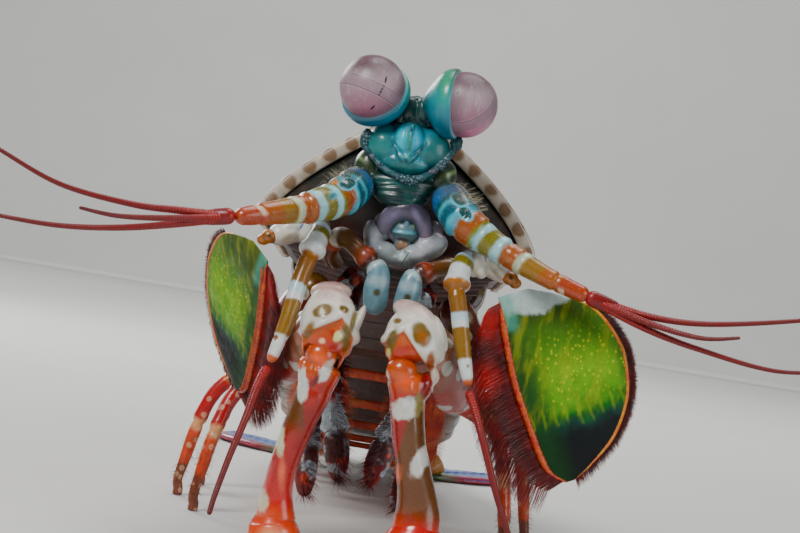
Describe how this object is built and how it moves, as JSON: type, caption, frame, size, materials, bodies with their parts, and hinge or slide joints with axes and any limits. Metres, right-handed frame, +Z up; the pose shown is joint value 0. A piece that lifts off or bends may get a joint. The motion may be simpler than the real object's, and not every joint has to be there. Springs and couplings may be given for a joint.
{
  "type": "mantis shrimp museum model",
  "caption": "Whole mantis shrimp, still and life size, forebody raised to face ahead, clubs hung down and tail fan on the floor.",
  "frame": {"origin": "centre of the bounding box's base, on the floor that the animal stands on", "axes": "+Z up; the animal faces -Y and its tail points along +Y; its left side is +X"},
  "size_m": [0.1066, 0.1755, 0.064],
  "materials": {
    "carapace_shell": "satin, leopard spotted at the edges",
    "underside": "soft satin",
    "face_shell": "satin turquoise",
    "jaw": "satin",
    "cornea": "high gloss, finely faceted",
    "eye_cup": "gloss",
    "banded_feeler": "satin, banded",
    "red_whip": "satin",
    "scale_blade": "satin, finely beaded",
    "jaw_leg": "satin",
    "claw_arm": "gloss",
    "claw_spotted": "gloss, spotted",
    "claw_red": "gloss",
    "club": "high gloss",
    "body_shell": "satin",
    "tail_fan": "satin",
    "swimmeret": "soft satin",
    "leg": "satin"
  },
  "bodies": {
    "root": {"carapace": "carapace_shell", "thorax_front": "underside", "rostral_plate": "face_shell", "head": "face_shell", "mouth": "jaw", "eye_right": "cornea", "eye_left": "cornea", "eye_stalk_right": "eye_cup", "eye_stalk_left": "eye_cup", "antennule_right": "banded_feeler", "antennule_left": "banded_feeler", "antennule_flagella_right": "red_whip", "antennule_flagella_left": "red_whip", "antenna_right": "banded_feeler", "antenna_left": "banded_feeler", "antenna_whip_right": "red_whip", "antenna_whip_left": "red_whip", "antennal_scale_right": "scale_blade", "antennal_scale_left": "scale_blade", "maxilliped_1_right": "jaw_leg", "maxilliped_1_left": "jaw_leg", "maxilliped_3_right": "jaw_leg", "maxilliped_3_left": "jaw_leg", "maxilliped_4_right": "jaw_leg", "maxilliped_4_left": "jaw_leg", "maxilliped_5_right": "jaw_leg", "maxilliped_5_left": "jaw_leg", "raptorial_merus_right": "claw_arm", "raptorial_merus_left": "claw_arm", "raptorial_carpus_right": "claw_spotted", "raptorial_carpus_left": "claw_spotted", "raptorial_propodus_right": "claw_red", "raptorial_propodus_left": "claw_red", "raptorial_dactyl_right": "club", "raptorial_dactyl_left": "club", "thorax_somite_5": "body_shell", "thorax_somite_6": "body_shell", "thorax_somite_7": "body_shell", "thorax_somite_8": "body_shell", "abdomen_somite_1": "body_shell", "abdomen_somite_2": "body_shell", "abdomen_somite_3": "body_shell", "abdomen_somite_4": "body_shell", "abdomen_somite_5": "body_shell", "abdomen_somite_6": "body_shell", "telson": "tail_fan", "uropod_right": "tail_fan", "uropod_left": "tail_fan", "pleopods_1": "swimmeret", "pleopods_2": "swimmeret", "pleopods_3": "swimmeret", "pleopods_4": "swimmeret", "pleopods_5": "swimmeret", "walking_leg_1_right": "leg", "walking_leg_1_left": "leg", "walking_leg_2_right": "leg", "walking_leg_2_left": "leg", "walking_leg_3_right": "leg", "walking_leg_3_left": "leg"}
  },
  "joints": []
}
